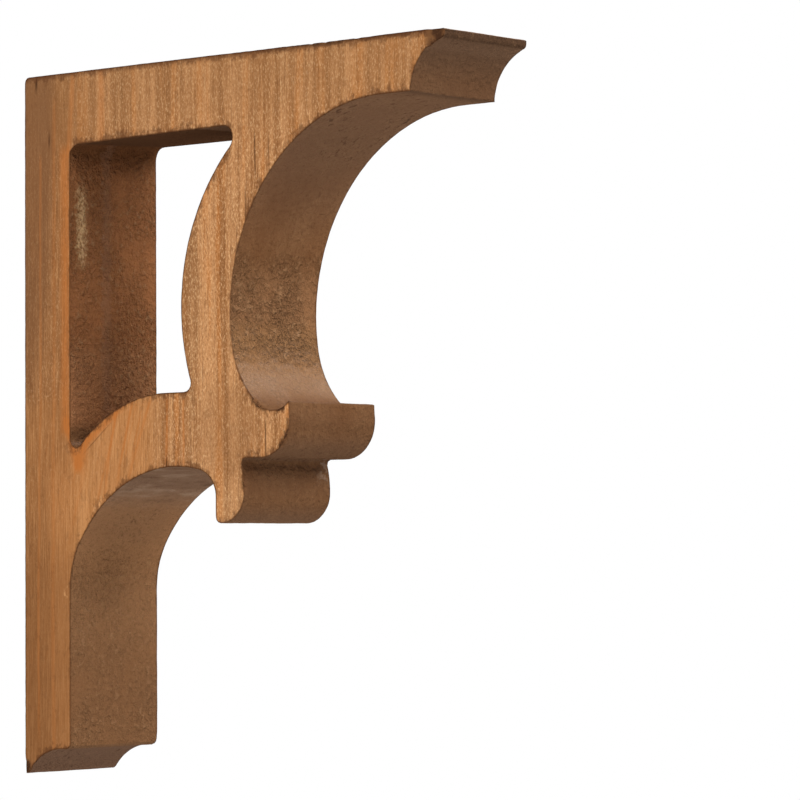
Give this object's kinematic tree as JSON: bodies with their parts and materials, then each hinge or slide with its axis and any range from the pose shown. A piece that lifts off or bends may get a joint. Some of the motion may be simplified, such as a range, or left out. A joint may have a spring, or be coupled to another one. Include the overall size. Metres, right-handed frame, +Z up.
{
  "type": "timber corbel bracket",
  "caption": "Sawn timber corbel bracket for a wall, with a C-shaped arch under the arm, an open window, stacked beads and a moulded foot.",
  "frame": {"origin": "middle of the flat wall face, halfway up and halfway across the plank", "axes": "+Y into the wall, so the bracket stands out towards -Y; +Z up; +X across the thickness of the plank"},
  "size_m": [0.0888, 0.4032, 0.508],
  "materials": {
    "timber": "brown stained softwood, satin, sawn and lightly sanded"
  },
  "bodies": {
    "root": {"corbel": "timber"}
  },
  "joints": []
}
